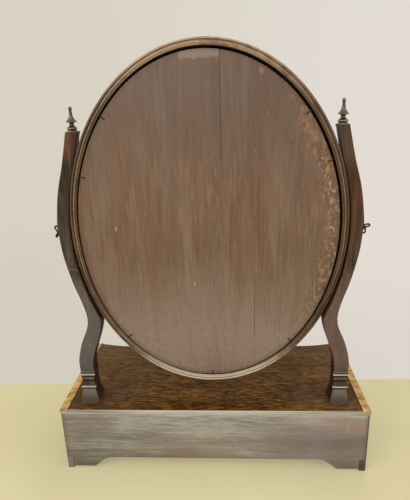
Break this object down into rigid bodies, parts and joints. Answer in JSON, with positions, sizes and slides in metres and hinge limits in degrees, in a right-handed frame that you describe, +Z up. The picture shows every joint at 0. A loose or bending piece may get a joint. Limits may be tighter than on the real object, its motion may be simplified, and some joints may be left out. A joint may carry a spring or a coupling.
{
  "type": "dressing table mirror",
  "caption": "Oval swing mirror between two shaped posts with turned finials, on a serpentine-fronted box base with drawers and bracket feet.",
  "frame": {"origin": "centre of the bounding box in X and Y, on the floor under the feet", "axes": "+Z up, the glass and the drawer fronts face -Y, +X to the right seen from the front"},
  "size_m": [0.4424, 0.2254, 0.5902],
  "materials": {
    "mahogany": "old glossy polish over figured veneer",
    "post_wood": "dark old polish, slightly glossy",
    "satinwood": "golden crossbanding under polish",
    "back_wood": "worn, dry, grey-brown",
    "frame_wood": "worn polish on a moulded frame",
    "board_wood": "dry stained softwood with worn patches",
    "lining_wood": "bare oak and pine linings",
    "boxwood": "pale polished bead",
    "silvered_glass": "old silvered plate",
    "old_brass": "darkened brass",
    "iron": "rusted brads"
  },
  "bodies": {
    "base": {"case_top": "mahogany", "left_crossband": "satinwood", "right_crossband": "satinwood", "left_side": "mahogany", "right_side": "mahogany", "case_back": "back_wood", "case_bottom": "lining_wood", "left_partition": "mahogany", "right_partition": "mahogany", "front_apron": "mahogany", "glue_blocks": "lining_wood", "left_plinth": "post_wood", "right_plinth": "post_wood", "left_post": "post_wood", "right_post": "post_wood", "left_finial": "post_wood", "right_finial": "post_wood", "left_washer": "old_brass", "right_washer": "old_brass"},
    "mirror": {"mirror_frame": "frame_wood", "sight_bead": "boxwood", "glass_plate": "silvered_glass", "glass_blocks": "lining_wood", "backboard_wide": "board_wood", "backboard_narrow": "board_wood", "backboard_pins": "iron", "left_pivot_plate": "old_brass", "right_pivot_plate": "old_brass"},
    "left_screw": {"left_thumb_screw": "old_brass"},
    "right_screw": {"right_thumb_screw": "old_brass"},
    "left_drawer": {"left_drawer_front": "mahogany", "left_drawer_inner_side": "lining_wood", "left_drawer_outer_side": "lining_wood", "left_drawer_back": "lining_wood", "left_drawer_bottom": "lining_wood", "left_knob": "old_brass"},
    "centre_drawer": {"centre_drawer_front": "mahogany", "centre_drawer_left_side": "lining_wood", "centre_drawer_right_side": "lining_wood", "centre_drawer_back": "lining_wood", "centre_drawer_bottom": "lining_wood", "centre_knob": "old_brass"},
    "right_drawer": {"right_drawer_front": "mahogany", "right_drawer_inner_side": "lining_wood", "right_drawer_outer_side": "lining_wood", "right_drawer_back": "lining_wood", "right_drawer_bottom": "lining_wood", "right_knob": "old_brass"}
  },
  "joints": [
    {"name": "mirror_tilt", "type": "hinge", "parent": "base", "child": "mirror", "pos_m": [0, 0.08173, 0.36], "axis": [1, 0, 0], "continuous": true},
    {"name": "left_screw_turn", "type": "hinge", "parent": "base", "child": "left_screw", "pos_m": [-0.2, 0.08173, 0.36], "axis": [1, 0, 0], "continuous": true},
    {"name": "right_screw_turn", "type": "hinge", "parent": "base", "child": "right_screw", "pos_m": [0.2, 0.08173, 0.36], "axis": [1, 0, 0], "continuous": true},
    {"name": "left_drawer_slide", "type": "slide", "parent": "base", "child": "left_drawer", "axis": [0, -1, 0], "range_m": [0, 0.125]},
    {"name": "centre_drawer_slide", "type": "slide", "parent": "base", "child": "centre_drawer", "axis": [0, -1, 0], "range_m": [0, 0.135]},
    {"name": "right_drawer_slide", "type": "slide", "parent": "base", "child": "right_drawer", "axis": [0, -1, 0], "range_m": [0, 0.125]}
  ]
}
